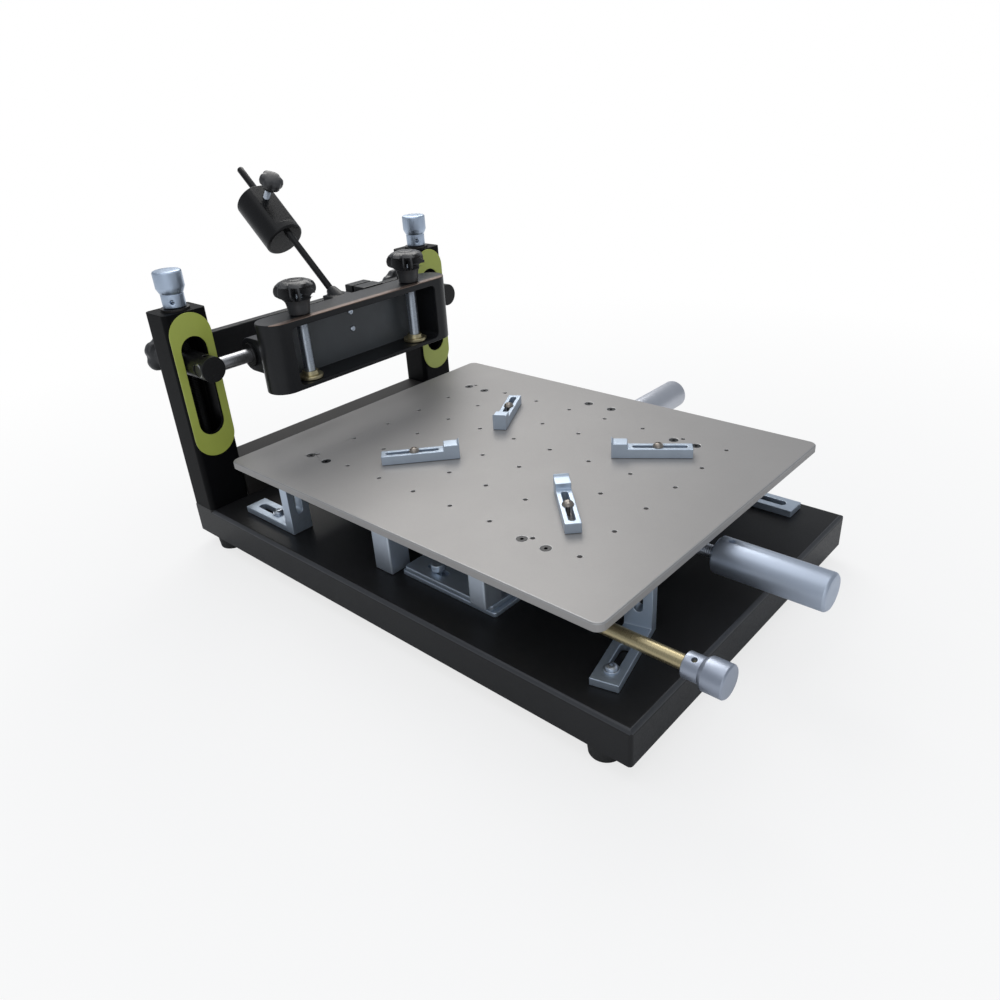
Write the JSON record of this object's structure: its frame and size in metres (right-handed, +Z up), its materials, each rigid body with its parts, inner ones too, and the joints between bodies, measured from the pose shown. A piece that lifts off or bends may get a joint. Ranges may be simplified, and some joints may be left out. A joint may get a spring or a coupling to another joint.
{
  "type": "tabletop screen printing press",
  "caption": "Tabletop press that lowers a framed screen onto a board: drilled table with fine adjustment, hinged screw clamp, twin lift columns and a counterweight.",
  "frame": {"origin": "middle of the base tray's outline on the bench plane, at the underside of the feet", "axes": "+X to the operator's right, +Y to the uprights at the rear, +Z up"},
  "size_m": [0.418, 0.6113, 0.3181],
  "materials": {
    "black_paint": "black powder coat, satin",
    "black_anodised": "black anodised, semi-gloss",
    "black_steel": "blackened steel",
    "black_plastic": "moulded black plastic",
    "green_plate": "green printed sheet",
    "rubber": "black rubber",
    "bronze": "sintered bronze",
    "table_alu": "milled, warm grey",
    "plate_alu": "milled, bright",
    "block_alu": "milled",
    "turned_alu": "turned, satin",
    "steel": "ground steel",
    "brass_screw": "yellow plated"
  },
  "bodies": {
    "frame": {"base_tray": "black_paint", "upright_left": "black_paint", "upright_right": "black_paint", "rear_beam": "black_paint", "label_plates": "green_plate", "rubber_feet": "rubber", "lift_bushes": "bronze", "turn_base": "plate_alu", "angle_post": "block_alu"},
    "turn": {"turn_plate": "plate_alu", "y_ways": "steel", "y_screw_block": "block_alu", "angle_lug": "block_alu"},
    "y_drive": {"y_handle": "turned_alu", "y_screw": "steel"},
    "y_carriage": {"y_carriage": "block_alu"},
    "table": {"table_plate": "table_alu", "table_blocks": "block_alu", "x_rails": "steel", "x_screw_block": "block_alu", "bracket_front_left": "plate_alu", "bracket_front_right": "plate_alu", "bracket_rear_left": "plate_alu", "bracket_rear_right": "plate_alu"},
    "x_drive": {"x_handle": "turned_alu", "x_screw": "steel"},
    "angle_tip": {"angle_pad": "steel"},
    "angle_drive": {"angle_screw": "brass_screw", "angle_knob": "turned_alu"},
    "z_carriage": {"crossbar": "black_paint", "arm_left": "black_steel", "arm_right": "black_steel", "hinge_shaft": "steel"},
    "lift_left": {"lift_knob_left": "turned_alu", "lift_screw_left": "steel"},
    "lift_right": {"lift_knob_right": "turned_alu", "lift_screw_right": "steel"},
    "lock_left": {"lock_knob_left": "black_plastic"},
    "lock_right": {"lock_knob_right": "black_plastic"},
    "clamp": {"clamp_housing": "black_anodised", "hinge_bushes": "steel", "hinge_brake": "black_anodised", "rod_holder": "black_anodised", "balance_rod": "black_steel"},
    "pad_left": {"clamp_pad_left": "steel"},
    "pad_right": {"clamp_pad_right": "steel"},
    "press_left": {"clamp_screw_left": "steel", "star_knob_left": "black_plastic"},
    "press_right": {"clamp_screw_right": "steel", "star_knob_right": "black_plastic"},
    "weight": {"counterweight": "black_steel"},
    "weight_lock": {"weight_knob": "black_plastic", "weight_screw": "steel"},
    "stop_screw_rear_left": {"stop_screw_rear_left": "steel"},
    "stop_bar_rear_left": {"stop_bar_rear_left": "plate_alu"},
    "stop_screw_rear_right": {"stop_screw_rear_right": "steel"},
    "stop_bar_rear_right": {"stop_bar_rear_right": "plate_alu"},
    "stop_screw_front_left": {"stop_screw_front_left": "steel"},
    "stop_bar_front_left": {"stop_bar_front_left": "plate_alu"},
    "stop_screw_front_right": {"stop_screw_front_right": "steel"},
    "stop_bar_front_right": {"stop_bar_front_right": "plate_alu"}
  },
  "joints": [
    {"name": "table_turn", "type": "hinge", "parent": "frame", "child": "turn", "pos_m": [0, -0.058, 0.048], "axis": [0, 0, 1], "range_deg": [-3, 3]},
    {"name": "table_forward", "type": "slide", "parent": "turn", "child": "y_carriage", "axis": [0, 1, 0], "range_m": [-0.012, 0.012]},
    {"name": "forward_handle", "type": "hinge", "parent": "turn", "child": "y_drive", "pos_m": [0, -0.15, 0.0723], "axis": [0, 1, 0], "range_deg": [-2340, 2340]},
    {"name": "table_across", "type": "slide", "parent": "y_carriage", "child": "table", "axis": [1, 0, 0], "range_m": [-0.012, 0.012]},
    {"name": "across_handle", "type": "hinge", "parent": "table", "child": "x_drive", "pos_m": [0.15, -0.023, 0.0723], "axis": [1, 0, 0], "range_deg": [-2340, 2340]},
    {"name": "angle_push", "type": "slide", "parent": "turn", "child": "angle_tip", "axis": [0, 1, 0], "range_m": [-0.007, 0.007]},
    {"name": "angle_knob_turn", "type": "hinge", "parent": "angle_tip", "child": "angle_drive", "pos_m": [-0.122, -0.2, 0.075], "axis": [0, 1, 0], "range_deg": [-1680, 1680]},
    {"name": "lift_height", "type": "slide", "parent": "frame", "child": "z_carriage", "axis": [0, 0, 1], "range_m": [-0.038, 0.012]},
    {"name": "lift_knob_left_turn", "type": "hinge", "parent": "frame", "child": "lift_left", "pos_m": [-0.14, 0.228, 0.2], "axis": [0, 0, 1], "range_deg": [-2520, 7200]},
    {"name": "lift_knob_right_turn", "type": "hinge", "parent": "frame", "child": "lift_right", "pos_m": [0.14, 0.228, 0.2], "axis": [0, 0, 1], "range_deg": [-2520, 7200]},
    {"name": "lock_knob_left_turn", "type": "hinge", "parent": "z_carriage", "child": "lock_left", "pos_m": [-0.14, 0.26, 0.178], "axis": [0, 1, 0], "range_deg": [-360, 0]},
    {"name": "lock_knob_right_turn", "type": "hinge", "parent": "z_carriage", "child": "lock_right", "pos_m": [0.14, 0.26, 0.178], "axis": [0, 1, 0], "range_deg": [-360, 0]},
    {"name": "clamp_tilt", "type": "hinge", "parent": "z_carriage", "child": "clamp", "pos_m": [0, 0.195, 0.178], "axis": [-1, 0, 0], "range_deg": [-4, 42]},
    {"name": "pad_left_lift", "type": "slide", "parent": "clamp", "child": "pad_left", "axis": [0, 0, 1], "range_m": [0, 0.03]},
    {"name": "pad_right_lift", "type": "slide", "parent": "clamp", "child": "pad_right", "axis": [0, 0, 1], "range_m": [0, 0.03]},
    {"name": "star_knob_left_turn", "type": "hinge", "parent": "pad_left", "child": "press_left", "pos_m": [-0.064, 0.16, 0.2], "axis": [0, 0, 1], "range_deg": [-720, 7920]},
    {"name": "star_knob_right_turn", "type": "hinge", "parent": "pad_right", "child": "press_right", "pos_m": [0.064, 0.16, 0.2], "axis": [0, 0, 1], "range_deg": [-720, 7920]},
    {"name": "weight_slide", "type": "slide", "parent": "clamp", "child": "weight", "axis": [0, 0.749, 0.6626], "range_m": [-0.01, 0.025]},
    {"name": "weight_knob_turn", "type": "hinge", "parent": "weight", "child": "weight_lock", "pos_m": [0, 0.28187, 0.28717], "axis": [0, -0.6626, 0.749], "range_deg": [0, 360]},
    {"name": "stop_rear_left_turn", "type": "hinge", "parent": "table", "child": "stop_screw_rear_left", "pos_m": [-0.06, 0.036, 0.105], "axis": [0, 0, 1], "range_deg": [-180, 180]},
    {"name": "stop_rear_left_slide", "type": "slide", "parent": "stop_screw_rear_left", "child": "stop_bar_rear_left", "axis": [0.7314, -0.682, 0], "range_m": [-0.014, 0.018]},
    {"name": "stop_rear_right_turn", "type": "hinge", "parent": "table", "child": "stop_screw_rear_right", "pos_m": [0.06, 0.036, 0.105], "axis": [0, 0, 1], "range_deg": [-180, 180]},
    {"name": "stop_rear_right_slide", "type": "slide", "parent": "stop_screw_rear_right", "child": "stop_bar_rear_right", "axis": [-0.8829, -0.4695, 0], "range_m": [-0.014, 0.018]},
    {"name": "stop_front_left_turn", "type": "hinge", "parent": "table", "child": "stop_screw_front_left", "pos_m": [-0.06, -0.124, 0.105], "axis": [0, 0, 1], "range_deg": [-180, 180]},
    {"name": "stop_front_left_slide", "type": "slide", "parent": "stop_screw_front_left", "child": "stop_bar_front_left", "axis": [0.7071, 0.7071, 0], "range_m": [-0.014, 0.018]},
    {"name": "stop_front_right_turn", "type": "hinge", "parent": "table", "child": "stop_screw_front_right", "pos_m": [0.06, -0.124, 0.105], "axis": [0, 0, 1], "range_deg": [-180, 180]},
    {"name": "stop_front_right_slide", "type": "slide", "parent": "stop_screw_front_right", "child": "stop_bar_front_right", "axis": [-0.5592, 0.829, 0], "range_m": [-0.014, 0.018]}
  ],
  "couplings": [
    {"joint": "forward_handle", "follows": "table_forward", "rad_per_m": -3141.6},
    {"joint": "across_handle", "follows": "table_across", "rad_per_m": 3141.6},
    {"joint": "angle_push", "follows": "table_turn", "m_per_rad": 0.122},
    {"joint": "angle_knob_turn", "follows": "table_turn", "ratio": 511.03},
    {"joint": "lift_knob_left_turn", "follows": "lift_height", "rad_per_m": -3141.6},
    {"joint": "lift_knob_right_turn", "follows": "lift_height", "rad_per_m": -3141.6},
    {"joint": "star_knob_left_turn", "follows": "pad_left_lift", "rad_per_m": 4188.8},
    {"joint": "star_knob_right_turn", "follows": "pad_right_lift", "rad_per_m": 4188.8}
  ]
}
